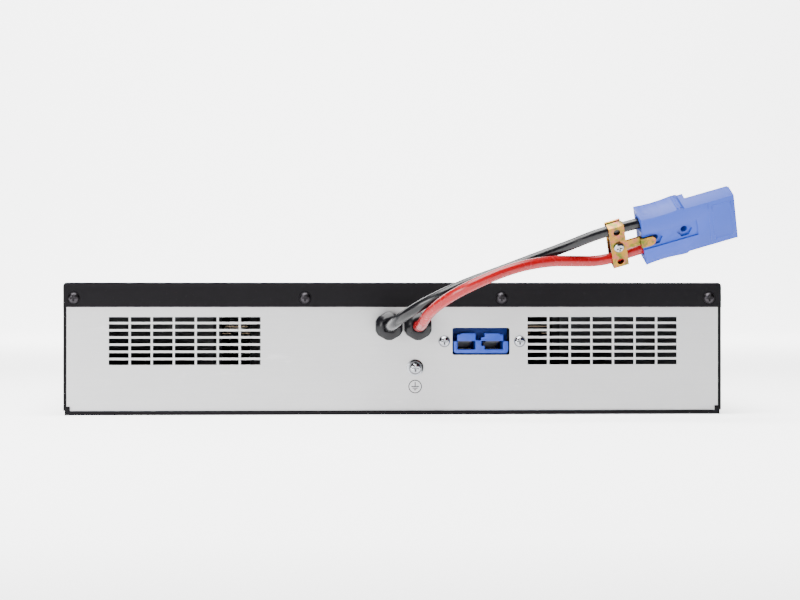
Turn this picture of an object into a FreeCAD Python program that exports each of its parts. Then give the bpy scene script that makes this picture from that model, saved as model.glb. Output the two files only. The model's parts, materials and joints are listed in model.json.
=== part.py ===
import FreeCAD, Part
import math
import os
import Sketcher
from FreeCAD import Placement, Rotation, Vector

# Two-rack-unit battery cabinet for a 48 V supply, in millimetres.
# X runs to the right seen from the rear, the rear panel faces -Y, the front bezel +Y, Z is up.
# The origin is under the middle of the cabinet, on the surface it stands on.

doc = FreeCAD.newDocument("rack_battery")
sheet = doc.addObject("Spreadsheet::Sheet", "Sizes")

SIZES = {
    "width": 439, "height": 88, "rear": -213, "front": 207, "bezel_depth": 22, "gap": 0.3,
    "steel": 1.2, "cover_steel": 1.0, "lip": 16.3, "skirt_low": 3, "skirt_front": 130, "pan_return": 2.8, "corner_tab": 5.8,
    "slot_wide": 13.2, "slot_tall": 3.3, "slot_pitch_x": 14.55, "slot_pitch_z": 4.76,
    "slot_count": 7, "vent_x": 139.3, "vent_z": 49.2,
    "gland_z": 59.1, "gland_flats": 17.8, "gland_thread": 12, "cable": 7,
    "socket_x": 57.9, "socket_z": 48.8, "socket_wide": 36.4, "socket_tall": 15.9,
    "cutout_wide": 38.4, "cutout_tall": 18.1, "socket_screw_gap": 50.5, "socket_screw_x": 58.6,
    "ground_x": 13.8, "ground_z": 31.2, "lip_screw_z": 77.7,
    "case_long": 151, "case_tall": 94, "case_thick": 65, "case_floor": 4.2, "lid_tall": 6,
    "plug_long": 62.4, "plug_wide": 36.5, "plug_thick": 16, "ear_pitch": 38, "ear_bolt_z": 25,
}

for row, (alias, number) in enumerate(SIZES.items(), start=1):
    sheet.set(f"A{row}", alias)
    sheet.set(f"B{row}", str(number))
    sheet.setAlias(f"B{row}", alias)
doc.recompute()

GLAND_X = {"negative": -4.1, "positive": 15.1}
SIDES = (-1, 1)
ALONG_Y = Rotation(Vector(1, 0, 0), -90)
ALONG_X = Rotation(Vector(0, 1, 0), 90)
UP = Rotation()


def size(alias):
    return float(sheet.get(alias))


def cell(text):
    """Turn a size written with bare aliases into an expression on the sheet."""
    words = "".join(c if c.isalnum() or c == "_" else " " for c in str(text)).split()
    text = str(text)
    for word in sorted(set(words) & set(SIZES), key=len, reverse=True):
        parts = []
        token = ""
        for c in text + " ":
            if c.isalnum() or c in "_.":
                token += c
                continue
            parts.append("Sizes." + word if token == word else token)
            parts.append(c)
            token = ""
        text = "".join(parts).rstrip()
    return text


def bind(thing, sizes):
    for prop, text in sizes.items():
        thing.setExpression(prop, cell(text))
    return thing


def place(thing, spot, turn=UP):
    thing.Placement = Placement(Vector(), turn)
    bind(thing, dict(zip(("Placement.Base.x", "Placement.Base.y", "Placement.Base.z"), spot)))
    return thing


def box(spot, extent):
    """Box from its lowest corner, all sizes as sheet expressions."""
    thing = doc.addObject("Part::Box", "box")
    bind(thing, dict(zip(("Length", "Width", "Height"), extent)))
    return place(thing, spot)


def rod(spot, turn, radius, length):
    thing = doc.addObject("Part::Cylinder", "rod")
    bind(thing, {"Radius": radius, "Height": length})
    return place(thing, spot, turn)


def cone(spot, turn, radius1, radius2, length):
    thing = doc.addObject("Part::Cone", "cone")
    bind(thing, {"Radius1": radius1, "Radius2": radius2, "Height": length})
    return place(thing, spot, turn)


def hexagon(spot, turn, flats, length):
    """Hexagonal prism by its width across flats."""
    thing = doc.addObject("Part::Prism", "hexagon")
    thing.Polygon = 6
    bind(thing, {"Circumradius": f"({flats}) / sqrt(3)", "Height": length})
    return place(thing, spot, turn)


def fuse(*pieces):
    if len(pieces) == 1:
        return pieces[0]
    thing = doc.addObject("Part::MultiFuse", "fuse")
    thing.Shapes = list(pieces)
    thing.Refine = True
    return thing


def cut(base, *tools):
    thing = doc.addObject("Part::Cut", "cut")
    thing.Base = base
    thing.Tool = fuse(*tools)
    return thing


def common(first, second):
    thing = doc.addObject("Part::Common", "common")
    thing.Base = first
    thing.Tool = second
    return thing


def group(pieces):
    thing = doc.addObject("Part::Compound", "group")
    thing.Links = list(pieces)
    return thing


nodes = []


def node(label, thing):
    thing.Label = label
    nodes.append(thing)
    return thing


def plane(body, role):
    return next(p for p in body.Origin.OriginFeatures if p.Role == role)


def sketch(body, role, offset):
    """Sketch on an origin plane of the body, moved along that plane's normal."""
    drawing = body.newObject("Sketcher::SketchObject", "sketch")
    drawing.AttachmentSupport = [(plane(body, role), "")]
    drawing.MapMode = "FlatFace"
    drawing.setExpression("AttachmentOffset.Base.z", cell(offset))
    return drawing


def draw_ring(drawing, corners):
    """Closed polygon whose corners are pinned to sheet expressions."""
    count = len(corners)
    start = [Vector(math.cos(2 * math.pi * i / count), math.sin(2 * math.pi * i / count), 0)
             for i in range(count)]
    ids = drawing.addGeometry([Part.LineSegment(start[i], start[(i + 1) % count])
                               for i in range(count)])
    drawing.addConstraint([Sketcher.Constraint("Coincident", ids[i], 2, ids[(i + 1) % count], 1)
                           for i in range(count)])
    for i, (x, y) in enumerate(corners):
        for kind, value in (("DistanceX", x), ("DistanceY", y)):
            number = drawing.addConstraint(Sketcher.Constraint(kind, -1, 1, ids[i], 1, 1.0))
            drawing.setExpression(f"Constraints[{number}]", cell(value))


def draw_circle(drawing, x, y, radius):
    circle = drawing.addGeometry(Part.Circle(Vector(), Vector(0, 0, 1), 1))
    for constraint, value in (
        (Sketcher.Constraint("DistanceX", -1, 1, circle, 3, 1.0), x),
        (Sketcher.Constraint("DistanceY", -1, 1, circle, 3, 1.0), y),
        (Sketcher.Constraint("Radius", circle, 1.0), radius),
    ):
        number = drawing.addConstraint(constraint)
        drawing.setExpression(f"Constraints[{number}]", cell(value))


def oblong(x0, y0, x1, y1):
    return [(x0, y0), (x1, y0), (x1, y1), (x0, y1)]


def pad(body, drawing, length):
    """Pad along the sketch's own normal."""
    feature = body.newObject("PartDesign::Pad", "pad")
    feature.Profile = drawing
    feature.setExpression("Length", cell(length))
    body.Tip = feature
    return feature


def pocket(body, drawing, length, flip=False):
    """Pocket against the sketch's normal, or along it when flipped; it has to remove material."""
    doc.recompute()
    before = body.Shape.Volume
    feature = body.newObject("PartDesign::Pocket", "pocket")
    feature.Profile = drawing
    feature.setExpression("Length", cell(length))
    feature.Reversed = flip
    body.Tip = feature
    doc.recompute()
    if body.Shape.Volume > before - 0.001:
        raise ValueError(f"{body.Name}: a pocket cuts nothing")
    return feature


def round_edges(body, radius, wanted):
    """Fillet the body's straight edges along Y whose middle point passes the test."""
    doc.recompute()
    names = [f"Edge{number}" for number, edge in enumerate(body.Shape.Edges, start=1)
             if edge.BoundBox.YLength > edge.Length - 0.01 and wanted(edge.CenterOfMass)]
    if not names:
        raise ValueError(f"{body.Name}: no edge to round")
    base = body.Tip
    rounding = body.newObject("PartDesign::Fillet", "rounding")
    rounding.Base = (base, names)
    rounding.Radius = radius
    body.Tip = rounding


def tube(points, radius):
    """Solid tube along straight runs joined by tangent arcs; returns its shape and radii."""
    points = [Vector(*p) for p in points]
    edges = []
    radii = []
    start = points[0]
    for before, corner, after in zip(points, points[1:], points[2:]):
        into = corner - before
        out = after - corner
        shorter = min(into.Length, out.Length)
        turn = into.getAngle(out)
        reach = 0.45 * shorter
        radii.append(reach / math.tan(turn / 2))
        a = corner - into.normalize() * reach
        b = corner + out.normalize() * reach
        sagitta = radii[-1] / math.cos(turn / 2) - radii[-1]
        inward = (out - into).normalize()
        edges.append(Part.LineSegment(start, a).toShape())
        edges.append(Part.Arc(a, corner + inward * sagitta, b).toShape())
        start = b
    edges.append(Part.LineSegment(start, points[-1]).toShape())
    path = Part.Wire(edges)
    profile = Part.Wire([Part.Circle(points[0], points[1] - points[0], radius).toShape()])
    solid = path.makePipeShell([profile], True, False)
    expected = math.pi * radius ** 2 * path.Length
    if abs(solid.Volume - expected) > 0.01 * expected:
        raise ValueError("a tube's volume doesn't match its section times its length")
    return solid, radii, path.Length


def feature(shape):
    thing = doc.addObject("Part::Feature", "solid")
    thing.Shape = shape
    return thing


# ---------------------------------------------------------------- sheet metal

def make_base_pan():
    """Tray with a floor, two side walls and a low rear return."""
    body = doc.addObject("PartDesign::Body", "base_pan_body")
    out = "width / 2 - cover_steel"
    inner = "width / 2 - cover_steel - steel"
    top = "height - cover_steel"
    profile = sketch(body, "XZ_Plane", "-1 * front")
    draw_ring(profile, [(f"-1 * ({out})", "0"), (out, "0"), (out, top), (inner, top),
                        (inner, "steel"), (f"-1 * ({inner})", "steel"),
                        (f"-1 * ({inner})", top), (f"-1 * ({out})", top)])
    pad(body, profile, "front - rear")
    rear_return = sketch(body, "XZ_Plane", "-1 * rear")
    tab = f"{out} - 3.4"
    draw_ring(rear_return, [(f"-1 * ({out})", "0"), (out, "0"), (out, "corner_tab"),
                            (tab, "corner_tab"), (tab, "pan_return"),
                            (f"-1 * ({tab})", "pan_return"), (f"-1 * ({tab})", "corner_tab"),
                            (f"-1 * ({out})", "corner_tab")])
    pad(body, rear_return, "cover_steel")
    for side in SIDES:
        holes = sketch(body, "YZ_Plane", "0")
        for column in (0, 1):
            for row in (-1, 1):
                draw_circle(holes, f"front - 22 - {column} * ear_pitch",
                            f"height / 2 + {row} * ear_bolt_z", "3")
        for y in (-150, 0, 120):
            draw_circle(holes, f"{y}", "lip_screw_z + 2.3", "1.6")
        pocket(body, holes, "width", flip=side > 0)
    return node("base_pan", body)


def make_rear_panel():
    """Bare metal panel with two vent grilles, a connector cutout and the screw holes."""
    body = doc.addObject("PartDesign::Body", "rear_panel_body")
    edge = "(width / 2 - cover_steel - steel)"
    top = "height - cover_steel"
    outline = sketch(body, "XY_Plane", "steel")
    draw_ring(outline, [(f"-1 * {edge}", "rear"), (edge, "rear"), (edge, "rear + 14"),
                        (f"{edge} - steel", "rear + 14"), (f"{edge} - steel", "rear + steel"),
                        (f"-1 * ({edge} - steel)", "rear + steel"),
                        (f"-1 * ({edge} - steel)", "rear + 14"), (f"-1 * {edge}", "rear + 14")])
    pad(body, outline, f"{top} - steel")
    for side in SIDES:
        corner = f"{side} * vent_x - (slot_count - 1) / 2 * slot_pitch_x"
        low = "vent_z - (slot_count - 1) / 2 * slot_pitch_z"
        slot = sketch(body, "XZ_Plane", "-1 * rear - 4")
        draw_ring(slot, oblong(f"{corner} - slot_wide / 2", f"{low} - slot_tall / 2",
                               f"{corner} + slot_wide / 2", f"{low} + slot_tall / 2"))
        first = pocket(body, slot, "6", flip=True)
        grid = body.newObject("PartDesign::MultiTransform", "grid")
        grid.Originals = [first]
        across = body.newObject("PartDesign::LinearPattern", "across")
        upward = body.newObject("PartDesign::LinearPattern", "upward")
        for step, axis, alias in ((across, "H_Axis", "slot_pitch_x"),
                                  (upward, "V_Axis", "slot_pitch_z")):
            step.Direction = (slot, [axis])
            bind(step, {"Length": f"(slot_count - 1) * {alias}", "Occurrences": "slot_count"})
        grid.Transformations = [across, upward]
        body.Tip = grid
    holes = sketch(body, "XZ_Plane", "-1 * rear - 4")
    draw_ring(holes, oblong("socket_x - cutout_wide / 2", "socket_z - cutout_tall / 2",
                            "socket_x + cutout_wide / 2", "socket_z + cutout_tall / 2"))
    for x in GLAND_X.values():
        draw_circle(holes, x, "gland_z", "gland_thread / 2")
    draw_circle(holes, "ground_x", "ground_z", "2.5")
    for side in SIDES:
        draw_circle(holes, f"socket_screw_x + {side} * socket_screw_gap / 2", "socket_z", "2")
    for x in LIP_SCREWS:
        draw_circle(holes, x, "lip_screw_z", "2.2")
    pocket(body, holes, "6", flip=True)
    round_edges(body, 1.3, lambda spot: abs(abs(spot.x - size("socket_x")) - size("cutout_wide") / 2) < 0.01
                and abs(abs(spot.z - size("socket_z")) - size("cutout_tall") / 2) < 0.01)
    return node("rear_panel", body)


LIP_SCREWS = (-212.6, -59.5, 71.6, 211.2)
SIDE_SCREWS = (-150, 0, 120)


def make_top_cover():
    """Lid with a lip down the rear and a skirt down each side, cut back to the lip's height at the front."""
    body = doc.addObject("PartDesign::Body", "top_cover_body")
    half = "(width / 2)"
    low = "height - lip"
    profile = sketch(body, "XZ_Plane", "-1 * front")
    inner = f"({half} - cover_steel)"
    draw_ring(profile, [(f"-1 * {half}", "skirt_low"), (f"-1 * {inner}", "skirt_low"),
                        (f"-1 * {inner}", "height - cover_steel"), (inner, "height - cover_steel"),
                        (inner, "skirt_low"), (half, "skirt_low"), (half, "height"),
                        (f"-1 * {half}", "height")])
    pad(body, profile, "front - rear")
    ear_room = sketch(body, "YZ_Plane", "-1 * width")
    draw_ring(ear_room, oblong("skirt_front", "0", "front + 1", low))
    pocket(body, ear_room, "2 * width", flip=True)
    lip = sketch(body, "XZ_Plane", "-1 * rear")
    draw_ring(lip, oblong(f"-1 * {half}", low, half, "height"))
    pad(body, lip, "cover_steel")
    holes = sketch(body, "XZ_Plane", "-1 * rear - 2")
    for x in LIP_SCREWS:
        draw_circle(holes, x, "lip_screw_z", "1.6")
    pocket(body, holes, "4", flip=True)
    side_holes = sketch(body, "YZ_Plane", "-1 * width")
    for y in SIDE_SCREWS:
        draw_circle(side_holes, y, "lip_screw_z + 2.3", "3")
    pocket(body, side_holes, "2 * width", flip=True)
    round_edges(body, 2.5, lambda spot: spot.z > size("height") - 0.01 and abs(spot.x) > size("width") / 2 - 0.01)
    return node("top_cover", body)


# Air enters in front of the battery blocks, not in front of the gaps between them.
FRONT_VENTS = (-150, -135, -90, -75, -60, -45, -30, -15, 0, 15, 30, 45, 60, 75, 120, 135, 150)


def make_front_panel():
    edge = "(width / 2 - cover_steel - steel)"
    plate = box((f"-1 * {edge}", "front - steel", "steel"),
                (f"2 * {edge}", "steel", "height - cover_steel - steel"))
    holes = [rod((x, "front - 3", z), ALONG_Y, "4.5", "6") for x, z in STUD_SPOTS]
    vents = [box((f"{x}", "front - 3", "30"), ("9", "6", "28")) for x in FRONT_VENTS]
    return node("front_panel", cut(plate, *holes, *vents))


STUD_SPOTS = tuple((x, z) for x in (-200, 200) for z in (16, 72))


def make_bezel():
    """Snap-off moulded front: a hollow shell with louvres and four ball studs inside."""
    half = "(width / 2)"
    shell = box((f"-1 * {half}", "front + gap", "0.6"), ("width", "bezel_depth - gap", "height - 1.2"))
    hollow = box((f"-1 * {half} + 2.5", "front - 1", "3.1"),
                 ("width - 5", "bezel_depth - 2", "height - 6.2"))
    louvres = [box((f"{x}", "front", f"{z}"), ("58", "40", "4"))
               for x in (-180, -112, 54, 122) for z in range(16, 71, 8)]
    badge = box(("-30", "front + bezel_depth - 1", "34"), ("60", "5", "20"))
    bosses = [rod((x, "front + 6", z), ALONG_Y, "4.5", "bezel_depth - 8") for x, z in STUD_SPOTS]
    sockets = [rod((x, "front + 4", z), ALONG_Y, "1.5", "10") for x, z in STUD_SPOTS]
    node("front_bezel", cut(fuse(cut(shell, hollow, badge, *louvres), *bosses), *sockets))
    studs = []
    for x, z in STUD_SPOTS:
        ball = doc.addObject("Part::Sphere", "ball")
        ball.Radius = 2.4
        place(ball, (x, "front - 4", z))
        studs.append(fuse(ball, rod((x, "front - 3", z), ALONG_Y, "1.5", "17")))
    node("bezel_studs", group(studs))
    clips = []
    for x, z in STUD_SPOTS:
        collar = fuse(rod((x, "front - 9", z), ALONG_Y, "4.5", "9"),
                      rod((x, "front - steel - 1.2", z), ALONG_Y, "6", "1.2"))
        clips.append(cut(collar, rod((x, "front - 10", z), ALONG_Y, "2.8", "12")))
    node("bezel_clips", group(clips))


def pan_screw(x, y, z, head, rise, shank, length, turn=ALONG_Y, cross=True):
    """Pan-head screw whose head sits on the plane y and whose shank runs on along +Y."""
    dome = doc.addObject("Part::Sphere", "dome")
    reach = f"((({head}) ^ 2 / 4 + ({rise}) ^ 2) / (2 * ({rise})))"
    bind(dome, {"Radius": reach})
    place(dome, (x, f"({y}) - ({rise}) + {reach}", z))
    block = box((f"({x}) - ({head})", f"({y}) - ({rise}) - 1", f"({z}) - ({head})"),
                (f"2 * ({head})", f"({rise}) + 1", f"2 * ({head})"))
    drive = [box((f"({x}) - {w} / 2", f"({y}) - ({rise}) - 1", f"({z}) - {t} / 2"),
                 (w, f"1 + 0.65 * ({rise})", t)) for w, t in ((f"(0.55 * ({head}))", f"(0.13 * ({head}))"),
                                                             (f"(0.13 * ({head}))", f"(0.55 * ({head}))"))]
    return fuse(cut(common(dome, block), *drive), rod((x, y, z), ALONG_Y, shank, length))


def hex_nut(x, y, z, flats, tall, bore):
    return cut(hexagon((x, y, z), ALONG_Y, flats, tall), rod((x, f"({y}) - 1", z), ALONG_Y, bore, f"({tall}) + 2"))


def make_case_fixings():
    node("cover_screws", group(pan_screw(x, "rear - cover_steel", "lip_screw_z", "8", "2.6", "1.5", "10")
                               for x in LIP_SCREWS))
    nuts = []
    for x in LIP_SCREWS:
        collar = fuse(rod((x, "rear", "lip_screw_z"), ALONG_Y, "2.2", "8"),
                      rod((x, "rear + steel", "lip_screw_z"), ALONG_Y, "2.5", "6.8"))
        nuts.append(cut(collar, rod((x, "rear - 1", "lip_screw_z"), ALONG_Y, "1.5", "12")))
    for side in SIDES:
        turn = Rotation(Vector(0, 1, 0), 90 * side)
        for column in (0, 1):
            for row in (-1, 1):
                y = f"front - 22 - {column} * ear_pitch"
                z = f"height / 2 + {row} * ear_bolt_z"
                wall = f"{side} * (width / 2 - cover_steel - steel - 4.5)"
                collar = fuse(rod((wall, y, z), turn, "3.6", "4.5"), rod((wall, y, z), turn, "3", "4.5 + steel"))
                nuts.append(cut(collar, rod((f"{wall} - {side} * 1", y, z), turn, "2", "12")))
    node("rivet_nuts", group(nuts))
    flush = []
    for side in SIDES:
        turn = Rotation(Vector(0, 1, 0), -90 * side)
        for y in SIDE_SCREWS:
            head = cone((f"{side} * width / 2", y, "lip_screw_z + 2.3"), turn, "2.9", "1.6", "cover_steel")
            shank = rod((f"{side} * width / 2", y, "lip_screw_z + 2.3"), turn, "1.5", "7")
            drive = [box((f"{side} * width / 2 - 0.7", f"{y} - {w} / 2", f"lip_screw_z + 2.3 - {t} / 2"),
                         ("1.4", w, t)) for w, t in (("3.2", "0.7"), ("0.7", "3.2"))]
            flush.append(cut(fuse(head, shank), *drive))
    node("side_screws", group(flush))


# ---------------------------------------------------------------- glands and ground stud

def make_gland(name):
    """Threaded body with a hexagon, domed compression cap, rubber seal and locknut."""
    x = GLAND_X[name]
    z = "gland_z"
    turn = Rotation(Vector(1, 0, 0), -90)
    flats = turn * Rotation(Vector(0, 0, 1), 30)
    flange = common(hexagon((x, "rear - 4.5", z), flats, "gland_flats", "4.5"),
                    rod((x, "rear - 4.5", z), ALONG_Y, "gland_flats * 0.525", "4.5"))
    outer = fuse(flange, rod((x, "rear", z), ALONG_Y, "gland_thread / 2", "13"))
    node(f"{name}_gland_body", cut(outer, rod((x, "rear - 5", z), ALONG_Y, "cable / 2 + 0.6", "20")))
    prism = common(hexagon((x, "rear - 16", z), flats, "gland_flats", "11.5"),
                   rod((x, "rear - 16", z), ALONG_Y, "gland_flats * 0.525", "11.5"))
    dome = doc.addObject("Part::Sphere", "dome")
    bind(dome, {"Radius": "gland_flats * 0.66"})
    place(dome, (x, "rear - 5.6", z))
    cap = common(prism, dome)
    node(f"{name}_gland_cap", cut(cap, rod((x, "rear - 20", z), ALONG_Y, "cable / 2 + 0.25", "18"),
                                  rod((x, "rear - 12.5", z), ALONG_Y, "5.6", "9")))
    node(f"{name}_gland_seal", cut(rod((x, "rear - 12.5", z), ALONG_Y, "5.6", "8"),
                                   rod((x, "rear - 14", z), ALONG_Y, "cable / 2 + 0.02", "12")))
    nut = hexagon((x, "rear + steel", z), flats, "gland_flats - 1", "5")
    node(f"{name}_gland_locknut", cut(nut, rod((x, "rear", z), ALONG_Y, "gland_thread / 2", "8")))


def washer(x, y, z, outer, inner, thick):
    return cut(rod((x, y, z), ALONG_Y, outer, thick), rod((x, f"({y}) - 1", z), ALONG_Y, inner, f"({thick}) + 2"))


def make_ground_stud():
    x, z = "ground_x", "ground_z"
    node("ground_screw", pan_screw(x, "rear - 2.2", z, "9", "3.1", "2.5", "12"))
    lock = cut(washer(x, "rear - 2.2", z, "4.4", "2.5", "1.2"),
               box((f"{x} + 2", "rear - 3", f"{z} - 0.4"), ("4", "3", "0.8")))
    node("ground_lock_washer", lock)
    node("ground_washer", washer(x, "rear - 1", z, "5.6", "2.5", "1"))
    node("ground_nut", hex_nut(x, "rear + steel", z, "8", "4", "2.5"))


# ---------------------------------------------------------------- two-pole connector

HOODS = ((-15.8, -3.6), (2.5, 14.9))
# Each window's corners as x from the middle and height above the housing's foot.
WINDOWS = (((-15.8, 2.4), (-3.6, 2.4), (-3.6, 8.2), (-15.8, 8.2)),
           ((2.5, 2.4), (14.9, 2.4), (14.9, 8.2), (0.2, 8.2), (0.2, 4.9), (2.5, 4.9)))


def make_connector_housing(body, wide, length):
    """Genderless two-pole housing along +Y from its mating face, middle of the face at the origin.

    The mating end has a tray floor, two low side walls, a centre rib and two hoods over windows.
    """
    half = f"({wide} / 2)"
    low = "(-1 * socket_tall / 2)"
    blank = sketch(body, "XZ_Plane", f"-1 * ({length})")
    draw_ring(blank, oblong(f"-1 * {half}", low, half, f"-1 * {low}"))
    pad(body, blank, length)
    round_edges(body, 2.0, lambda spot: spot.z < 0)
    rib = sketch(body, "XZ_Plane", "-19")
    draw_ring(rib, oblong("-18.9", "-9.45", "18.9", "9.45"))
    pad(body, rib, "3")
    above = sketch(body, "XZ_Plane", "1")
    draw_ring(above, oblong(f"-1 * {half} - 1", f"{low} + 13.2", f"{half} + 1", "20"))
    pocket(body, above, "15")
    notches = sketch(body, "XZ_Plane", "1")
    draw_ring(notches, oblong(f"-1 * {half} - 1", f"{low} + 7.9", f"{HOODS[0][0]}", "18"))
    draw_ring(notches, oblong(f"{HOODS[1][1]}", f"{low} + 7.9", f"{half} + 1", "18"))
    draw_ring(notches, [("-3.6", f"{low} + 8.6"), ("0.2", f"{low} + 8.6"), ("0.2", f"{low} + 10.6"),
                        ("2.5", f"{low} + 10.6"), ("2.5", "18"), ("-3.6", "18")])
    pocket(body, notches, "15")
    steps = sketch(body, "XZ_Plane", "1")
    for left, right in ((-16.5, -13.4), (12.5, 15.6)):
        draw_ring(steps, oblong(f"{left}", f"{low} + 12.4", f"{right}", "18"))
    pocket(body, steps, "15")
    windows = sketch(body, "XZ_Plane", "1")
    for corners in WINDOWS:
        draw_ring(windows, [(f"{x}", f"{low} + {z}") for x, z in corners])
    pocket(body, windows, "32")
    bores = sketch(body, "XZ_Plane", f"-1 * ({length}) - 1")
    for left, right in HOODS:
        draw_circle(bores, f"{(left + right) / 2}", "-2.2", "4.6")
    pocket(body, bores, f"{length} - 28", flip=True)
    return body


def make_receptacle():
    body = doc.addObject("PartDesign::Body", "receptacle_body")
    make_connector_housing(body, "socket_wide", "48")
    place(body, ("socket_x", "rear + 0.6", "socket_z"))
    node("receptacle_housing", body)
    contacts = []
    springs = []
    for left, right in HOODS:
        middle = f"socket_x + {(left + right) / 2}"
        blade = box((f"{middle} - 4.6", "rear + 11", "socket_z - 0.9"), ("9.2", "20", "1.1"))
        barrel = cut(rod((middle, "rear + 31", "socket_z - 2.2"), ALONG_Y, "4.4", "16"),
                     rod((middle, "rear + 36", "socket_z - 2.2"), ALONG_Y, "3.52", "14"))
        contacts.append(fuse(blade, barrel))
        springs.append(box((f"{middle} - 4", "rear + 12", "socket_z - 5.5"), ("8", "18", "0.5")))
    node("receptacle_contacts", group(contacts))
    node("receptacle_springs", group(springs))
    side = "socket_screw_gap / 2 + 6"
    plate = box((f"socket_x - ({side})", "rear + steel", "socket_z - 12"),
                (f"2 * ({side})", "1.5", "24"))
    leg = [box(("socket_x - 15", "rear + steel", f"socket_z + {z}"), ("30", "26", "1.5"))
           for z in ("9.5", "(-11)")]
    window = box(("socket_x - 19.3", "rear", "socket_z - 9.5"), ("38.6", "5", "19"))
    holes = [rod((f"socket_screw_x + {s} * socket_screw_gap / 2", "rear", "socket_z"), ALONG_Y, "2", "6")
             for s in SIDES]
    node("receptacle_bracket", cut(fuse(plate, *leg), window, *holes))
    node("receptacle_screws", group(pan_screw(f"socket_screw_x + {s} * socket_screw_gap / 2", "rear", "socket_z",
                                              "8", "2.6", "2", "9") for s in SIDES))
    node("receptacle_nuts", group(hex_nut(f"socket_screw_x + {s} * socket_screw_gap / 2", "rear + steel + 1.5",
                                          "socket_z", "7", "3.2", "2") for s in SIDES))


# The plug floats in front of the panel on its own cables. Its own frame has x along the plug from
# the cable end, y across its width and z out of its broad face.
PLUG_RISE = 16.1
PLUG_AWAY = 2.0
PLUG_ROLL = 38.0
PLUG_SPOT = Vector(154.5, -279.0, 117.6)
TUNNEL_Y = 9.6
CLAMP_X = -15.8
PLUG_HOLES = (8.2, 28.0)


def plug_turn():
    """Rotation of the plug's frame: it rises to the right and rolls its broad face downwards."""
    along = Vector(math.cos(math.radians(PLUG_RISE)) * math.cos(math.radians(PLUG_AWAY)),
                   math.cos(math.radians(PLUG_RISE)) * math.sin(math.radians(PLUG_AWAY)),
                   math.sin(math.radians(PLUG_RISE)))
    level = Vector(0, -1, 0)
    level = (level - along * level.dot(along)).normalize()
    upward = along.cross(level) * -1
    roll = math.radians(PLUG_ROLL)
    face = level * math.cos(roll) + upward * (-math.sin(roll))
    across = face.cross(along)
    return Rotation(along, across, face, "XYZ")


def seat(label, thing):
    """Put a piece drawn in the plug's frame in its place."""
    thing.Placement = Placement(PLUG_SPOT, plug_turn())
    return node(label, thing)


def at_plug(x, y, z):
    return PLUG_SPOT + plug_turn().multVec(Vector(x, y, z))


def plug_outline(half, nose, long):
    """Broad-face outline: hollow finger grips, two steps down to the nose, a straight nose."""
    edges = []
    for side in SIDES:
        corners = [(24.2, half), (28.0, half), (29.4, nose), (long, nose)]
        edges.append(Part.Arc(Vector(0, side * half, 0), Vector(12, side * (half - 0.9), 0),
                              Vector(24.2, side * half, 0)))
        edges += [Part.LineSegment(Vector(x0, side * y0, 0), Vector(x1, side * y1, 0))
                  for (x0, y0), (x1, y1) in zip(corners, corners[1:])]
    for x, y in ((0, half), (long, nose)):
        edges.append(Part.LineSegment(Vector(x, y, 0), Vector(x, -y, 0)))
    return edges


def hex_ring(x, radius):
    return [(f"{x} + {radius * math.cos(math.radians(60 * i)):.4f}",
             f"{radius * math.sin(math.radians(60 * i)):.4f}") for i in range(6)]


def make_plug():
    """The panel connector's mate: tray floor on the broad face, hoods towards the back."""
    body = doc.addObject("PartDesign::Body", "plug_body")
    half = size("plug_wide") / 2
    outline = sketch(body, "XY_Plane", "-1 * plug_thick / 2")
    outline.addGeometry(plug_outline(half, half - 1.0, size("plug_long")))
    pad(body, outline, "plug_thick")
    top = "plug_thick / 2"
    channel = sketch(body, "XY_Plane", top)
    draw_ring(channel, oblong("-1", "-6", "36.5", "6"))
    pocket(body, channel, "0.9")
    recess = sketch(body, "XY_Plane", top)
    for x in PLUG_HOLES:
        draw_ring(recess, hex_ring(x, 5.0))
    pocket(body, recess, "2.5")
    holes = sketch(body, "XY_Plane", top)
    for x in PLUG_HOLES:
        draw_circle(holes, x, "0", "2.25")
    pocket(body, holes, "plug_thick + 1")
    tunnels = sketch(body, "YZ_Plane", "-1")
    for side in SIDES:
        draw_circle(tunnels, f"{side} * {TUNNEL_Y}", "0", "5.2")
    pocket(body, tunnels, "34", flip=True)
    far = "plug_long + 1"
    nose = "plug_long - 32"
    windows = sketch(body, "YZ_Plane", far)
    for side in SIDES:
        draw_ring(windows, oblong(f"{side * 9.2 - 6.1}", "-0.2", f"{side * 9.2 + 6.1}", "5.6"))
    pocket(body, windows, "31.4")
    behind = sketch(body, "YZ_Plane", far)
    draw_ring(behind, oblong("-20", "-12", "20", "-5.2"))
    pocket(body, behind, nose)
    beside = sketch(body, "YZ_Plane", far)
    for side in SIDES:
        draw_ring(beside, oblong(f"{side * 18.9 - 3.4}", "-13", f"{side * 18.9 + 3.4}", "-1.9"))
    draw_ring(beside, oblong("-2.8", "-13", "2.8", "-0.9"))
    pocket(body, beside, nose)
    seat("plug_housing", body)
    contacts = []
    springs = []
    for side in SIDES:
        y = side * TUNNEL_Y
        barrel = cut(rod(("16.5", y, "0"), ALONG_X, "4.6", "14"), rod(("15", y, "0"), ALONG_X, "3.6", "13"))
        blade = box(("29.5", f"{y} - 4", "-0.1"), ("24", "8", "1"))
        contacts.append(fuse(barrel, blade))
        springs.append(box(("36", f"{y} - 3.5", "5"), ("17", "7", "0.5")))
    seat("plug_contacts", group(contacts))
    seat("plug_springs", group(springs))


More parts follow.
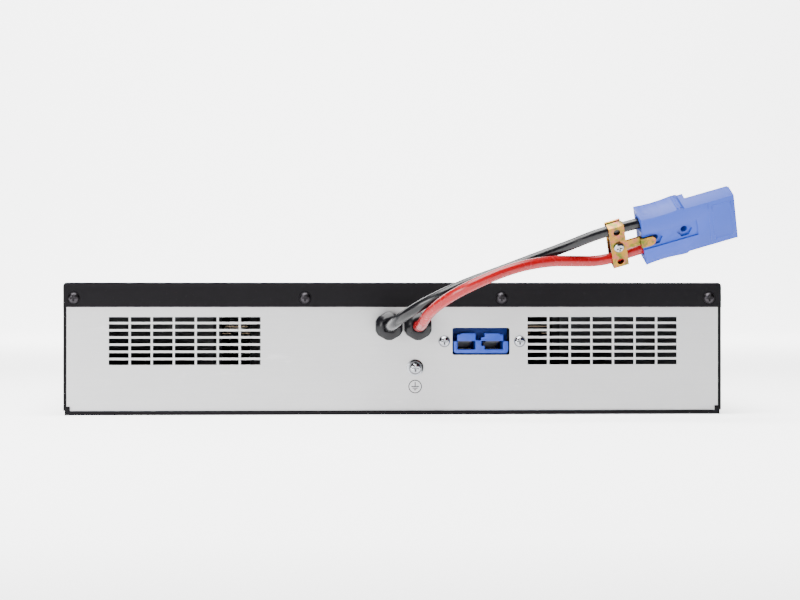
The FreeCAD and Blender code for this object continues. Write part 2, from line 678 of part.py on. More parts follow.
def make_clamp():
    """Two plated steel straps squeeze both cables; the front one hooks into the plug."""
    r = size("cable") / 2
    thick = 1.4
    low = r + 0.25
    plate = box((CLAMP_X - 5.15, "-15.3", low), ("10.3", "30.6", thick))
    neck = box((CLAMP_X + 5, "-3.2", low), (-CLAMP_X - 5.3, "6.4", thick))
    rise = box(("-1.7", "-3.2", low), (thick, "6.4", 8.5 - low))
    tongue = fuse(box(("-1.7", "-3.6", "7.15"), ("6.3", "7.2", thick)),
                  rod(("4.6", "0", "7.15"), UP, "3.6", thick),
                  rod(("7", "0", "4.2"), UP, "1", "3.6"))
    ends = [box((CLAMP_X - 5.15, side * 15.3 - 0.7, "-0.6"), ("10.3", thick, low + 0.6 + thick))
            for side in SIDES]
    holes = [rod((CLAMP_X, f"{y}", "2"), UP, radius, "4") for y, radius in ((-11.8, 2.2), (0, 2), (11.8, 2.2))]
    seat("clamp_front_strap", cut(fuse(plate, neck, rise, tongue, *ends), *holes))
    back = box((CLAMP_X - 5.15, "-14.6", -low - thick), ("10.3", "29.2", thick))
    seat("clamp_back_strap", cut(back, rod((CLAMP_X, "0", "-6"), UP, "2", "4")))
    face = low + thick
    head = cut(fuse(rod((CLAMP_X, "0", face), UP, "3.4", "1"),
                    cone((CLAMP_X, "0", face + 1), UP, "3.4", "2.4", "1")),
               box((CLAMP_X - 2, "-0.45", face + 0.9), ("4", "0.9", "3")),
               box((CLAMP_X - 0.45, "-2", face + 0.9), ("0.9", "4", "3")))
    seat("clamp_screw", fuse(head, rod((CLAMP_X, "0", -face - 4), UP, "2", 2 * face + 4)))
    seat("clamp_nut", cut(hexagon((CLAMP_X, "0", -face - 3.2), UP, "7", "3.2"),
                          rod((CLAMP_X, "0", -face - 4), UP, "2", "5")))


# ---------------------------------------------------------------- cables

def make_cables():
    """The two free cables, from the gland tips to the plug, by routes chosen by hand."""
    exit_y = size("rear") - 16
    z = size("gland_z")
    black = [(GLAND_X["negative"], exit_y, z), (GLAND_X["negative"], -248, z),
             (2.5, -270, 66.1), (19.5, -281, 76.5), (42, -282.5, 86.9),
             (64, -281, 94.6), (86, -279.5, 103), (107, -281, 110.7)]
    red = [(GLAND_X["positive"], exit_y, z), (GLAND_X["positive"], -256, z),
           (17.4, -283.5, 67.4), (30, -301.5, 78.5), (50, -307.5, 88.7),
           (73, -300, 97.4), (94, -289, 101.2), (111, -279.5, 101.4)]
    for name, route, side in (("black_cable", black, 1), ("red_cable", red, -1)):
        route = route + [at_plug(x, side * y, 0) for x, y in ((-28, 11.2), (-8, 10.8), (16.5, TUNNEL_Y))]
        solid, radii, length = tube(route, size("cable") / 2)
        print(name, "length", round(length, 1), "radii", [round(r) for r in radii])
        print([tuple(round(v, 1) for v in p) for p in route])
        node(name, feature(solid))


def make_inner_leads():
    """Fixed leads inside the case: each gland's cable and each connector pole to its bus bar."""
    exit_y = size("rear") - 16
    r = size("cable") / 2
    for name, color, end_x, side in (("negative", "black", -80, 0), ("positive", "red", 26, 1)):
        x = GLAND_X[name]
        z = size("gland_z")
        gland = [(x, exit_y, z), (x, -185, z), (x + (end_x - x) * 0.3, -160, z - 4),
                 (x + (end_x - x) * 0.72, -146, z - 12), (end_x, -138, z - 22)]
        left, right = HOODS[side]
        sx = size("socket_x") + (left + right) / 2
        sz = size("socket_z") - 2.2
        bus = -60 if side == 0 else 46
        lead = [(sx, size("rear") + 36, sz), (sx, -152, sz), (sx + (bus - sx) * 0.3, -124, sz - 3),
                (sx + (bus - sx) * 0.7, -120, sz - 10), (bus, -134, sz - 19)]
        solids = [tube(route, r)[0] for route in (gland, lead)]
        node(f"{color}_inner_leads", feature(Part.makeCompound(solids)))


# ---------------------------------------------------------------- batteries and the wiring bay

COLUMNS = ((-211, 1), (-3, -1), (3, 1), (211, -1))
ROWS = (-108, 47)


def make_blocks():
    """Eight sealed 12 V blocks on their sides, lids and terminals facing the two aisles."""
    lids = []
    terminals = []
    number = 0
    for y in ROWS:
        for base, way in COLUMNS:
            number += 1
            start = base if way > 0 else f"{base} - case_tall + lid_tall"
            case = box((f"{start}", f"{y}", "case_floor"), ("case_tall - lid_tall", "case_long", "case_thick"))
            node(f"battery_case_{number}", case)
            far = f"({base} + {way} * (case_tall - lid_tall))"
            lid = far if way > 0 else f"({far} - lid_tall)"
            lids.append(box((lid, f"{y}", "case_floor"), ("lid_tall", "case_long", "case_thick")))
            face = f"({base} + {way} * case_tall)"
            for end in (12, 139):
                x = face if way > 0 else f"({face} - 6)"
                terminals.append(box((x, f"{y} + {end} - 3", "case_floor + 48"), ("6", "6", "0.8")))
    node("battery_lids", group(lids))
    node("battery_terminals", group(terminals))


def make_wiring():
    """Series links, fuses, bus bars and the block that carries them."""
    links = []
    for aisle in (-107, 107):
        for y in (-94, 61):
            links.append(box((f"{aisle} - 8", f"{y} - 5", "57"), ("16", "10", "1")))
        links.append(box((f"{aisle} - 3", "34", "59"), ("6", "26", "1")))
    node("series_links", group(links))
    base = box(("-100", "-150", "steel"), ("176", "22", "10"))
    node("bus_block", base)
    bars = {"negative": -96, "positive": 8}
    for name, x in bars.items():
        bar = box((f"{x}", "-146", "11.2"), ("62", "14", "3"))
        holes = [rod((f"{x + 7 + 16 * i}", "-139", "10"), UP, "2", "8") for i in range(4)]
        node(f"{name}_bus_bar", cut(bar, *holes))
    holders = []
    fuses = []
    for x in (-30, -12):
        holders.append(cut(box((f"{x}", "-148", "11.2"), ("12", "18", "12")),
                           box((f"{x + 2}", "-146", "15.2"), ("8", "14", "9"))))
        fuses.append(rod((f"{x + 6}", "-145.5", "19"), ALONG_Y, "3.2", "13"))
    node("fuse_holders", group(holders))
    node("string_fuses", group(fuses))
    screws = [fuse(rod((f"{x + 7 + 16 * i}", "-139", "14.2"), UP, "3.5", "2.4"),
                   rod((f"{x + 7 + 16 * i}", "-139", "11.2"), UP, "2", "3.2"))
              for x in bars.values() for i in (0, 1, 2, 3)]
    node("bus_screws", group(screws))


def make_holding():
    straps = []
    for y in (-45, 110):
        strap = box(("-215.8", f"{y}", "case_floor + case_thick"), ("431.6", "25", "1"))
        feet = [box((x, f"{y}", "case_floor + case_thick"), ("1", "25", "8")) for x in ("-215.8", "214.8")]
        straps.append(fuse(strap, *feet))
    node("hold_down_straps", group(straps))
    pads = [box((f"{x}", f"{y} + 5", "steel"), ("88", "141", "case_floor - steel"))
            for y in ROWS for x in (-208, -94, 6, 120)]
    node("foam_pads", group(pads))


def check_and_export():
    doc.recompute()
    for thing in doc.Objects:
        if {"Invalid", "Error"} & set(thing.State):
            raise ValueError(f"{thing.Name} ({thing.Label}) failed: {thing.State}")
    for thing in nodes:
        if thing.Shape.isNull() or not thing.Shape.isValid() or not thing.Shape.Solids:
            raise ValueError(f"{thing.Label} has no valid solid")
    os.makedirs("parts", exist_ok=True)
    for thing in nodes:
        thing.Shape.exportStep(f"parts/{thing.Label}.step")
    print(len(nodes), "parts")


make_base_pan()
make_rear_panel()
make_top_cover()
make_front_panel()
make_bezel()
make_case_fixings()
for pole in GLAND_X:
    make_gland(pole)
make_ground_stud()
make_receptacle()
make_plug()
make_clamp()
make_cables()
make_inner_leads()
make_blocks()
make_wiring()
make_holding()
check_and_export()
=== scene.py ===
import json
import math

import bmesh
import bpy
import numpy as np
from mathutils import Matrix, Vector


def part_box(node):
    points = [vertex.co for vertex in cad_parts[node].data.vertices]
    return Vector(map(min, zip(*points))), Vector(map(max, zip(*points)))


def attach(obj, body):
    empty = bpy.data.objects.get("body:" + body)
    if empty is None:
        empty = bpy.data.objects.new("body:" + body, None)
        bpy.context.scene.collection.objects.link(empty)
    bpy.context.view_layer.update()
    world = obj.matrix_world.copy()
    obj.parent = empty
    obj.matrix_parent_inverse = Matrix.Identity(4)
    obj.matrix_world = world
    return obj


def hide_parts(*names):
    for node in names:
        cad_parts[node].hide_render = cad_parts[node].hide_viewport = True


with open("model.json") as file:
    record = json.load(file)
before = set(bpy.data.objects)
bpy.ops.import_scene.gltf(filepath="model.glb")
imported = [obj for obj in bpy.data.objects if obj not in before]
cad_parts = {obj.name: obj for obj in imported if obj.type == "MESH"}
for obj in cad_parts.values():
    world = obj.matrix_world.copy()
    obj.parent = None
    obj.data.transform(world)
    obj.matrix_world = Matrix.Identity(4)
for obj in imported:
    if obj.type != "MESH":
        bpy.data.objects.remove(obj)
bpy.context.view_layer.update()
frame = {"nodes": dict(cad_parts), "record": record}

cabinet, bezel = "cabinet", "bezel"
mm = 0.001


# Lowest corner, highest corner and middle of a node, as arrays.
def boxOf(name):
    low, high = (np.array(corner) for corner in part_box(name))
    return low, high, (low + high) / 2


# camera: level with the cabinet's upper half, a little to the left of its middle
view = {"distance": 1.6, "lens": 108, "turn": math.radians(3), "aimX": 0.0037, "aimZ": 0.0764}


def addCamera():
    rear = boxOf("rear_panel")[0][1]
    data = bpy.data.cameras.new("camera")
    data.lens = view["lens"]
    data.sensor_width = 36
    camera = bpy.data.objects.new("camera", data)
    bpy.context.collection.objects.link(camera)
    back = Vector((-math.sin(view["turn"]), -math.cos(view["turn"]), 0)) * view["distance"]
    camera.location = Vector((view["aimX"], rear, view["aimZ"])) + back
    camera.rotation_euler = (math.pi / 2, 0, -view["turn"])
    bpy.context.scene.camera = camera


addCamera()
print("camera placed")


# shader maths: an expression on wrapped sockets adds the nodes that work it out
class Wire:
    def __init__(self, shader, socket):
        self.shader, self.socket = shader, socket

    def math(self, operation, other):
        return self.shader.add("ShaderNodeMath", {"operation": operation}, {0: self, 1: other})

    def __add__(self, other):
        return self.math("ADD", other)

    def __radd__(self, other):
        return self.math("ADD", other)

    def __sub__(self, other):
        return self.math("SUBTRACT", other)

    def __mul__(self, other):
        return self.math("MULTIPLY", other)


# A material's node tree with one method that adds any node.
class Shader:
    def __init__(self, name, **constants):
        self.material = bpy.data.materials.new(name)
        self.material.use_nodes = True
        self.tree = self.material.node_tree
        self.surface = self.tree.nodes["Principled BSDF"]
        for socket, value in constants.items():
            self.put(self.surface.inputs[socket.replace("_", " ")], value)

    def put(self, socket, value):
        if isinstance(value, Wire):
            self.tree.links.new(value.socket, socket)
        elif isinstance(value, (tuple, list)) and len(value) == 3 and socket.type == "RGBA":
            socket.default_value = (*value, 1)
        else:
            socket.default_value = value

    def add(self, kind, settings=None, inputs=None, output=0):
        node = self.tree.nodes.new(kind)
        for key, value in (settings or {}).items():
            if key == "stops":
                ramp = node.color_ramp.elements
                while len(ramp) < len(value):
                    ramp.new(0.5)
                for element, (place, shade) in zip(ramp, value):
                    element.position = place
                    element.color = (shade, shade, shade, 1)
            else:
                setattr(node, key, value)
        for key, value in (inputs or {}).items():
            self.put(node.inputs[key], value)
        return Wire(self, node.outputs[output])

    def place(self, scale=(1, 1, 1)):
        where = self.add("ShaderNodeTexCoord", output=3)
        return self.add("ShaderNodeMapping", None, {0: where, "Scale": scale})

    def noise(self, size, scale=(1, 1, 1), detail=3, roughness=0.5):
        return self.add("ShaderNodeTexNoise", None,
                        {"Vector": self.place(scale), "Scale": 1 / size, "Detail": detail,
                         "Roughness": roughness})

    def ramp(self, value, *stops):
        return self.add("ShaderNodeValToRGB", {"stops": stops}, {0: value})

    def blend(self, amount, first, second):
        node = self.tree.nodes.new("ShaderNodeMix")
        node.data_type = "RGBA"
        self.put(node.inputs[0], amount)
        self.put(node.inputs[6], first)
        self.put(node.inputs[7], second)
        return Wire(self, node.outputs[2])

    def bump(self, height, depth, strength):
        return self.add("ShaderNodeBump", None, {"Height": height, "Distance": depth, "Strength": strength})

    def finish(self, **links):
        for socket, value in links.items():
            self.put(self.surface.inputs[socket.replace("_", " ")], value)
        return self.material


# Fine orange-peel powder coat with faint dust and slightly polished patches.
def powderCoat(name, colour, gloss, grain):
    made = Shader(name, Specular_IOR_Level=0.06)
    peel = made.noise(grain, detail=2)
    wide = made.noise(0.05, detail=4)
    dust = made.ramp(made.noise(0.0016, detail=4), (0.62, 0), (0.8, 1))
    shade = made.blend(wide, colour, tuple(1.45 * c for c in colour))
    shade = made.blend(dust * 0.012, shade, (0.30, 0.29, 0.28))
    return made.finish(Base_Color=shade, Roughness=gloss + wide * 0.10 + dust * 0.1,
                       Normal=made.bump(peel, 0.00008, 0.5))


# Rolled zinc-coated steel: long faint roll lines, cloudy zinc patches, light rub marks.
def bareSheet(name, colour, rough):
    made = Shader(name, Metallic=0.82)
    lines = made.noise(0.0009, scale=(0.02, 1, 1), detail=5, roughness=0.65)
    cloud = made.noise(0.03, detail=5, roughness=0.6)
    crystal = made.add("ShaderNodeTexVoronoi", None, {"Vector": made.place(), "Scale": 160})
    marks = made.ramp(made.noise(0.012, scale=(0.25, 1, 1), detail=6, roughness=0.7), (0.60, 0), (0.72, 1))
    dark = tuple(0.80 * c for c in colour)
    shade = made.blend(cloud * 0.45 + lines * 0.35 + crystal * 0.05, colour, dark)
    shade = made.blend(marks * 0.18, shade, (0.95, 0.95, 0.94))
    return made.finish(Base_Color=shade, Roughness=rough + lines * 0.14 + cloud * 0.08 - marks * 0.05,
                       Normal=made.bump(lines, 0.00003, 0.35))


# Injection-moulded plastic: fine spark-eroded grain, flow clouds and faint scuffs.
def moulded(name, colour, rough, grain=0.0004, depth=0.00005, wear=0.06, **constants):
    made = Shader(name, **constants)
    fine = made.noise(grain, detail=2)
    cloud = made.noise(0.02, detail=3)
    scuff = made.ramp(made.noise(0.006, scale=(1, 0.3, 1), detail=6, roughness=0.75), (0.63, 0), (0.74, 1))
    shade = made.blend(cloud * 0.5, colour, tuple(0.82 * c for c in colour))
    shade = made.blend(scuff * wear, shade, tuple(min(1, c + 0.35) for c in colour))
    return made.finish(Base_Color=shade, Roughness=rough + cloud * 0.08 + scuff * 0.12,
                       Normal=made.bump(fine, depth, 0.45))


# Plated metal: fine tumbling scratches and, on chromate, drifting interference tints.
def plated(name, colour, rough, tints=()):
    made = Shader(name, Metallic=1.0)
    fine = made.noise(0.0007, detail=5, roughness=0.7)
    cloud = made.noise(0.004, detail=3)
    shade = made.blend(fine * 0.5, colour, tuple(0.72 * c for c in colour))
    for tint, size in tints:
        drift = made.ramp(made.noise(size, detail=2), (0.48, 0), (0.66, 1))
        shade = made.blend(drift * 0.8, shade, tint)
    return made.finish(Base_Color=shade, Roughness=rough + cloud * 0.14 + fine * 0.06,
                       Normal=made.bump(fine, 0.00002, 0.4))


# Extruded cable jacket: smooth glossy skin, drawn lines and specks of dust.
def jacket(name, colour, rough):
    made = Shader(name, Specular_IOR_Level=0.30)
    ripple = made.noise(0.003, detail=3)
    speck = made.ramp(made.noise(0.0009, detail=4), (0.66, 0), (0.78, 1))
    shade = made.blend(ripple * 0.6, colour, tuple(0.8 * c for c in colour))
    shade = made.blend(speck * 0.03, shade, (0.6, 0.57, 0.55))
    return made.finish(Base_Color=shade, Roughness=rough + ripple * 0.12 + speck * 0.2,
                       Normal=made.bump(ripple, 0.00003, 0.3))


# Closed-cell foam: open bubbles cut at the surface, each bubble's hollow darkened with painted shade.
def foam(name, colour):
    made = Shader(name, Roughness=0.95)
    cells = made.add("ShaderNodeTexVoronoi", None, {"Vector": made.place(), "Scale": 900})
    # painted shade: the colour darkens towards each bubble's centre, where the bump makes its hollow
    shade = made.blend(cells, tuple(0.5 * c for c in colour), colour)
    return made.finish(Base_Color=shade, Normal=made.bump(cells, 0.0003, 0.8))


finishes = {
    "black_powder_coat": powderCoat("blackPowderCoat", (0.0030, 0.0028, 0.0034), 0.50, 0.0006),
    "bare_steel": bareSheet("bareSteel", (0.50, 0.50, 0.505), 0.34),
    "black_moulding": moulded("blackMoulding", (0.008, 0.008, 0.009), 0.46, grain=0.0005, depth=0.00009,
                              wear=0.02, Specular_IOR_Level=0.25),
    # painted shade: the zinc plating gets a colour far darker than real zinc, standing in for the dark
    # reflections it shows under this bright stage
    "zinc_steel": plated("zincSteel", (0.30, 0.31, 0.33), 0.10),
    "black_screw": plated("blackOxide", (0.030, 0.028, 0.031), 0.26),
    "gland_nylon": moulded("glandNylon", (0.003, 0.003, 0.004), 0.2, wear=0.0, Specular_IOR_Level=0.2),
    "gland_rubber": moulded("glandRubber", (0.012, 0.012, 0.012), 0.6),
    "blue_connector": moulded("blueConnector", (0.010, 0.038, 0.28), 0.46, grain=0.0006, depth=0.00004,
                              wear=0.015, Specular_IOR_Level=0.3),
    # painted shade: the silver contacts get a colour far darker than real silver, standing in for their dark
    # reflections under this bright stage
    "silver_contact": plated("silverContact", (0.07, 0.07, 0.08), 0.25),
    # painted shade: the yellow zinc gets a darker colour than the real plating, so it reads right under this
    # bright stage
    "yellow_zinc": plated("yellowZinc", (0.24, 0.125, 0.020), 0.16,
                          (((0.26, 0.05, 0.06), 0.0035), ((0.04, 0.08, 0.012), 0.0045))),
    "black_insulation": jacket("blackJacket", (0.004, 0.004, 0.005), 0.16),
    "red_insulation": jacket("redJacket", (0.22, 0.0014, 0.0040), 0.20),
    "battery_grey": moulded("batteryGrey", (0.040, 0.042, 0.045), 0.55, grain=0.0007, depth=0.0001),
    # painted shade: the tinned copper gets a darker colour than the real metal, so it reads right under this
    # bright stage
    "tinned_copper": plated("tinnedCopper", (0.42, 0.32, 0.24), 0.34),
    "grey_foam": foam("greyFoam", (0.16, 0.16, 0.165)),
}
slotOf = {part["node"]: part["material_slot"] for part in frame["record"]["subparts"]}


def dress(piece, slotName):
    piece.data.materials.clear()
    piece.data.materials.append(finishes[slotName])


for name, piece in frame["nodes"].items():
    for index in range(len(piece.material_slots)):
        piece.material_slots[index].material = finishes[slotOf[name]]
print("materials made")


# Middle of the plug's cable end and the plug's axes: along it, across its width and out of its broad face.
def plugFrame():
    rise, away, roll = (math.radians(plug[key]) for key in ("rise", "away", "roll"))
    along = Vector((math.cos(rise) * math.cos(away), math.cos(rise) * math.sin(away), math.sin(rise)))
    level = Vector((0, -1, 0))
    level = (level - along * level.dot(along)).normalized()
    upward = -along.cross(level)
    face = level * math.cos(roll) - upward * math.sin(roll)
    return Vector(plug["spot"]), along, face.cross(along), face


plug = {"rise": 16.1, "away": 2.0, "roll": 38.0, "spot": (0.1545, -0.279, 0.1176), "tunnel": 0.0096,
        "wide": 0.0365, "thick": 0.016}
plugSpot, plugAlong, plugAcross, plugFace = plugFrame()


def atPlug(along, across, out=0.0):
    return plugSpot + plugAlong * along + plugAcross * across + plugFace * out


# each cable's route, as given points in metres; its last points lie in the plug's own frame
cables = {
    "black": {"side": 1, "length": 0.2235, "end": "plug",
              "route": [(-0.0041, -0.229, 0.0591), (-0.0041, -0.248, 0.0591), (0.0025, -0.270, 0.0661),
                        (0.0195, -0.281, 0.0765), (0.042, -0.2825, 0.0869), (0.064, -0.281, 0.0946),
                        (0.086, -0.2795, 0.103), (0.107, -0.281, 0.1107)]},
    "red": {"side": -1, "length": 0.2350, "end": "plug",
            "route": [(0.0151, -0.229, 0.0591), (0.0151, -0.256, 0.0591), (0.0174, -0.2835, 0.0674),
                      (0.030, -0.3015, 0.0785), (0.050, -0.3075, 0.0887), (0.073, -0.300, 0.0974),
                      (0.094, -0.289, 0.1012), (0.111, -0.2795, 0.1014)]},
}
cableDiameter = 0.007
plugEntry = ((-0.028, 0.0112), (-0.008, 0.0108), (0.0165, plug["tunnel"]))


def addCable(colour, facts):
    data = bpy.data.curves.new(f"{colour}_jacket", "CURVE")
    data.dimensions = "3D"
    spline = data.splines.new("NURBS")
    points = facts["route"] + [tuple(atPlug(x, facts["side"] * y)) for x, y in plugEntry]
    spline.points.add(len(points) - 1)
    for point, spot in zip(spline.points, points):
        point.co = (*spot, 1)
    spline.order_u = 3
    spline.use_endpoint_u = True
    spline.resolution_u = 14
    data.bevel_depth = cableDiameter / 2
    data.bevel_resolution = 8
    data.use_fill_caps = True
    piece = bpy.data.objects.new(f"{colour}_jacket", data)
    bpy.context.collection.objects.link(piece)
    data.materials.append(finishes[f"{colour}_insulation"])
    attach(piece, cabinet)
    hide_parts(f"{colour}_cable")
    return piece, points


jackets = {colour: addCable(colour, facts) for colour, facts in cables.items()}
print("cables made")


# new pieces are surfaces: a grid of points worked out as whole arrays
def addPiece(name, vertices, faces, slotName):
    data = bpy.data.meshes.new(name)
    data.from_pydata(np.asarray(vertices).reshape(-1, 3).tolist(), [], [list(face) for face in faces])
    data.update()
    shape = bmesh.new()
    shape.from_mesh(data)
    bmesh.ops.remove_doubles(shape, verts=shape.verts, dist=1e-6)
    bmesh.ops.recalc_face_normals(shape, faces=shape.faces)
    shape.to_mesh(data)
    shape.free()
    data.polygons.foreach_set("use_smooth", [True] * len(data.polygons))
    piece = bpy.data.objects.new(name, data)
    bpy.context.collection.objects.link(piece)
    dress(piece, slotName)
    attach(piece, cabinet)


# Quads of a grid stored row by row; closed joins each row's end to its start.
def gridFaces(rows, columns, closed=False):
    steps = columns if closed else columns - 1
    row, column = np.meshgrid(np.arange(rows - 1), np.arange(steps), indexing="ij")
    after = (column + 1) % columns
    quads = np.stack([row * columns + column, row * columns + after,
                      (row + 1) * columns + after, (row + 1) * columns + column], axis=-1)
    return [tuple(quad) for quad in quads.reshape(-1, 4).tolist()]


# Bar with a half-round top carried along a path: profile points are
# halfWide * cos(t) across and tall * sin(t) out, for t from 0 to pi, closed by its flat foot.
def sweep(path, across, out, halfWide, tall, steps=10):
    t = np.linspace(0, math.pi, steps)
    ring = np.stack([np.cos(t) * halfWide, np.sin(t) * tall], axis=-1)
    path, across, out = (np.asarray(v, float) for v in (path, across, out))
    points = path[:, None, :] + ring[None, :, :1] * across + ring[None, :, 1:] * out
    faces = gridFaces(len(path), steps, closed=True)
    last = (len(path) - 1) * steps
    faces += [tuple(range(steps)), tuple(range(last, last + steps))]
    return points.reshape(-1, 3), faces


# Several vertex and face lists as one.
def joined(parts):
    vertices, faces, start = [], [], 0
    for points, quads in parts:
        vertices.append(points)
        faces += [tuple(start + i for i in quad) for quad in quads]
        start += len(points)
    return np.concatenate(vertices), faces


flatAngle, sharpAngle = math.radians(1.5), math.radians(25)


# A copy of a CAD node with its facets merged and its edges rounded.
def soften(node, width, segments=2, body=cabinet, smooth=True):
    data = frame["nodes"][node].data.copy()
    data.name = f"{node}_soft"
    shape = bmesh.new()
    shape.from_mesh(data)
    bmesh.ops.remove_doubles(shape, verts=shape.verts, dist=1e-6)
    bmesh.ops.dissolve_limit(shape, angle_limit=flatAngle, verts=shape.verts, edges=shape.edges)
    shape.to_mesh(data)
    shape.free()
    data.polygons.foreach_set("use_smooth", [smooth] * len(data.polygons))
    piece = bpy.data.objects.new(f"{node}_soft", data)
    bpy.context.collection.objects.link(piece)
    rounding = piece.modifiers.new("rounding", "BEVEL")
    rounding.width = width
    rounding.segments = segments
    rounding.limit_method = "ANGLE"
    rounding.angle_limit = sharpAngle
    rounding.harden_normals = smooth
    dress(piece, slotOf[node])
    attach(piece, body)
    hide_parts(node)


# how far each node's edges are rounded, in millimetres
softEdges = {
    "top_cover": 0.35, "base_pan": 0.25, "plug_housing": 0.55,
    "receptacle_housing": 0.35, "clamp_front_strap": 0.28, "clamp_back_strap": 0.28, "clamp_screw": 0.15,
    "negative_gland_body": 0.4, "positive_gland_body": 0.4, "negative_gland_cap": 0.5,
    "positive_gland_cap": 0.5, "cover_screws": 0.12, "receptacle_screws": 0.12, "ground_screw": 0.12,
    "ground_washer": 0.15, "ground_lock_washer": 0.12, "receptacle_bracket": 0.2,
}
# sheet metal stays flat between its edges
foldedSheets = ("top_cover", "base_pan")
for node, width in softEdges.items():
    soften(node, width * mm, smooth=node not in foldedSheets)
soften("front_bezel", 0.9 * mm, segments=3, body=bezel)
print("edges softened")


# Two rounded ridges across each narrow side of the plug, just before its nose.
def addGripRidges():
    ridges = {"places": (0.0252, 0.0272), "halfWide": 0.0007, "tall": 0.0006}
    half = plug["thick"] / 2 - 0.0006
    parts = []
    for side in (-1, 1):
        for along in ridges["places"]:
            path = [tuple(atPlug(along, side * (plug["wide"] / 2 - 0.0001), out))
                    for out in np.linspace(-half, half, 12)]
            parts.append(sweep(path, plugAlong, plugAcross * side, ridges["halfWide"], ridges["tall"]))
    addPiece("plug_grip_ridges", *joined(parts), "blue_connector")


# Raised outline of a label panel and one mould line across the plug's broad face.
def addFaceMarks():
    marks = {"from": 0.0472, "to": 0.0597, "half": 0.0135, "line": 0.0447, "lineHalf": 0.0160,
             "tall": 0.00018, "halfWide": 0.00025}
    level = plug["thick"] / 2 - 0.00005
    corners = [(marks["from"], -marks["half"]), (marks["to"], -marks["half"]),
               (marks["to"], marks["half"]), (marks["from"], marks["half"])]
    strokes = [(corners[i], corners[(i + 1) % 4]) for i in range(4)]
    strokes.append(((marks["line"], -marks["lineHalf"]), (marks["line"], marks["lineHalf"])))
    parts = []
    for first, last in strokes:
        s = np.linspace(0, 1, 6)[:, None]
        flat = np.array(first) * (1 - s) + np.array(last) * s
        path = [tuple(atPlug(x, y, level)) for x, y in flat]
        across = plugAcross if first[1] == last[1] else plugAlong
        parts.append(sweep(path, across, plugFace, marks["halfWide"], marks["tall"]))
    addPiece("plug_face_marks", *joined(parts), "blue_connector")


# Generic protective-earth sign stamped below the ground screw: a ring, a stem and three bars, its relief real
# and its dark colour painted shade.
def addEarthMark():
    sign = {"radius": 0.0042, "stroke": 0.00032, "tall": 0.00012, "drop": 0.0125, "stem": (0.0030, 0.0002),
            "bars": ((0.0026, 0.0), (0.0017, -0.0011), (0.0008, -0.0022))}
    screw = boxOf("ground_washer")[2]
    rear = boxOf("rear_panel")[0][1]
    centre = np.array([screw[0], rear + 0.00002, screw[2] - sign["drop"]])
    turn = np.linspace(0, 2 * math.pi, 49)
    spokes = np.stack([np.cos(turn), 0 * turn, np.sin(turn)], axis=-1)
    ringPath = centre + sign["radius"] * spokes
    t = np.linspace(0, math.pi, 8)
    ring = (ringPath[:, None, :] + np.cos(t)[None, :, None] * sign["stroke"] * spokes[:, None, :]
            + np.sin(t)[None, :, None] * sign["tall"] * np.array([0, -1, 0]))
    parts = [(ring.reshape(-1, 3), gridFaces(len(turn), len(t), closed=True))]
    strokes = [((0, sign["stem"][0]), (0, sign["stem"][1]), (1, 0, 0))]
    strokes += [((-w, z), (w, z), (0, 0, 1)) for w, z in sign["bars"]]
    for first, last, across in strokes:
        s = np.linspace(0, 1, 4)[:, None]
        flat = np.array(first) * (1 - s) + np.array(last) * s
        path = centre + np.stack([flat[:, 0], 0 * flat[:, 0], flat[:, 1]], axis=-1)
        parts.append(sweep(path, across, (0, -1, 0), sign["stroke"], sign["tall"], steps=8))
    # painted shade: the stamped sign is bare panel metal; its dark colour stands in for the shade along its
    # stamped edges
    addPiece("earth_mark", *joined(parts), "black_screw")


# Fine grip grooves round each gland cap's mouth: a rounded collar with a wavy outside.
# Its radius is the collar's radius plus a small cosine wave round the axis.
def addCapRibs():
    ribs = {"radius": 0.00545, "wave": 0.00012, "count": 24, "long": 0.0012, "bore": 0.0038, "proud": 0.00001}
    for pole in ("negative", "positive"):
        low, _, middle = boxOf(f"{pole}_gland_cap")
        tip = low[1] + ribs["proud"]
        turn = np.linspace(0, 2 * math.pi, 145)[:-1]
        along = np.array([0, 0.25, 0.75, 1.0])
        inset = np.array([0.0016, 0.0002, 0.0002, 0.0])
        radius = (ribs["radius"] - inset)[:, None] + ribs["wave"] * np.cos(ribs["count"] * turn)[None, :]
        y = tip + (along * ribs["long"])[:, None] + 0 * turn[None, :]
        points = np.stack([middle[0] + radius * np.cos(turn), y, middle[2] + radius * np.sin(turn)], axis=-1)
        inner = np.stack([middle[0] + ribs["bore"] * np.cos(turn), 0 * turn + tip,
                          middle[2] + ribs["bore"] * np.sin(turn)], axis=-1)[None]
        back = inner + np.array([0, ribs["long"], 0])
        rings = np.concatenate([inner, points, back, inner])
        addPiece(f"{pole}_cap_mouth", rings.reshape(-1, 3), gridFaces(len(rings), len(turn), closed=True),
                 "gland_nylon")


addGripRidges()
addFaceMarks()
addEarthMark()
addCapRibs()
print("small pieces made")


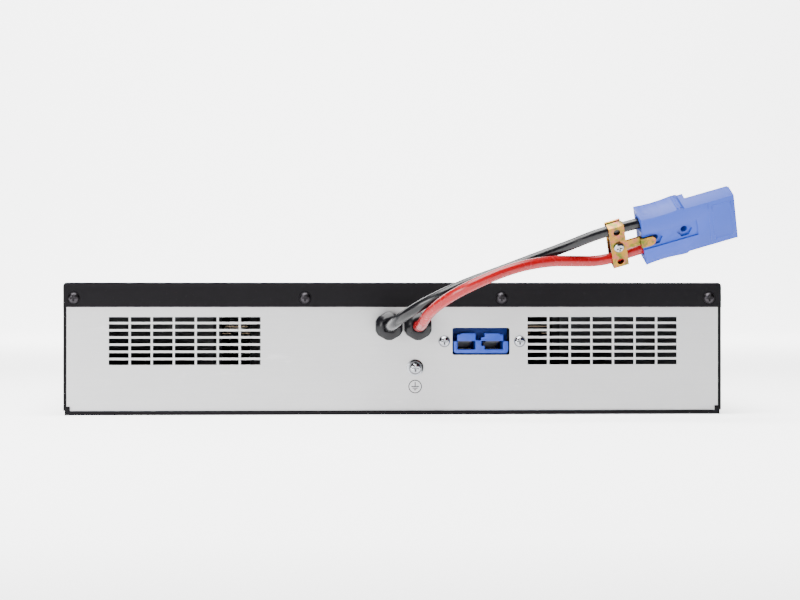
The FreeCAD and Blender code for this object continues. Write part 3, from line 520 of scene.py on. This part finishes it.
# Pale floor that curves up into a wall: flat, then a quarter turn, then upright.
def addStage():
    stage = {"half": 6.0, "front": -6.0, "bend": 4.0, "radius": 1.5, "wall": 5.0, "glow": 1.9,
             "glowFrom": 1.35, "glowRise": 3.33}
    turn = np.linspace(0, math.pi / 2, 24)
    y = np.concatenate([[stage["front"]], stage["bend"] + stage["radius"] * np.sin(turn),
                        [stage["bend"] + stage["radius"]]])
    z = np.concatenate([[0.0], stage["radius"] * (1 - np.cos(turn)), [stage["wall"]]])
    x = np.array([-stage["half"], stage["half"]])
    points = np.stack([np.repeat(x[None, :], len(y), 0), np.repeat(y[:, None], 2, 1),
                       np.repeat(z[:, None], 2, 1)], axis=-1)
    data = bpy.data.meshes.new("floor")
    data.from_pydata(points.reshape(-1, 3).tolist(), [], gridFaces(len(y), 2))
    data.polygons.foreach_set("use_smooth", [True] * len(data.polygons))
    floor = bpy.data.objects.new("floor", data)
    bpy.context.collection.objects.link(floor)
    made = Shader("paleFloor", Base_Color=(0.9, 0.9, 0.9), Roughness=0.9, Emission_Strength=stage["glow"])
    depth = made.add("ShaderNodeSeparateXYZ", None, {"Vector": made.place()}, output=1)
    # the glow fades out in front of the cabinet: (depth + glowFrom) * glowRise, held from nought to one
    fade = made.ramp((depth + stage["glowFrom"]) * stage["glowRise"], (0, 0), (1, 1))
    data.materials.append(made.finish(Emission_Color=fade))


lamps = {
    "key": {"spot": (-1.9, -1.7, 0.75), "size": 1.0, "power": 14, "colour": (1, 0.985, 0.965)},
    "leftPanel": {"spot": (-1.5, -1.9, 0.2), "size": 0.9, "power": 75, "colour": (1, 1, 1),
                  "aim": (-0.15, -0.2, 0.05)},
    "overhead": {"spot": (-0.2, -0.35, 1.8), "size": 1.6, "power": 150, "colour": (1, 1, 1)},
    "streak": {"spot": (-0.55, -0.9, 1.1), "size": 0.28, "power": 7, "colour": (1, 1, 1)},
    "backdrop": {"spot": (0.0, 2.6, 2.6), "size": 3.0, "power": 420, "colour": (1, 1, 1),
                 "aim": (0, 5.4, 0.6)},
}


def addLamps():
    for name, facts in lamps.items():
        data = bpy.data.lights.new(name, "AREA")
        data.size = facts["size"]
        data.energy = facts["power"]
        data.color = facts["colour"]
        lamp = bpy.data.objects.new(name, data)
        bpy.context.collection.objects.link(lamp)
        lamp.location = facts["spot"]
        aim = Vector(facts.get("aim", (0, -0.2, 0.06))) - lamp.location
        lamp.rotation_euler = aim.to_track_quat("-Z", "Y").to_euler()


surroundings = {"left": 0.35, "right": 0.10}


# Soft surroundings: brighter towards the left, dimmer towards the right.
def addWorld():
    world = bpy.data.worlds.new("studio")
    world.use_nodes = True
    tree = world.node_tree
    where = tree.nodes.new("ShaderNodeTexCoord")
    split = tree.nodes.new("ShaderNodeSeparateXYZ")
    tree.links.new(where.outputs["Generated"], split.inputs[0])
    ramp = tree.nodes.new("ShaderNodeMapRange")
    ramp.inputs["From Min"].default_value = -1
    ramp.inputs["From Max"].default_value = 1
    ramp.inputs["To Min"].default_value = surroundings["left"]
    ramp.inputs["To Max"].default_value = surroundings["right"]
    tree.links.new(split.outputs["X"], ramp.inputs["Value"])
    tree.links.new(ramp.outputs["Result"], tree.nodes["Background"].inputs["Strength"])
    bpy.context.scene.world = world


addStage()
addLamps()
addWorld()

print("stage and lamps placed")
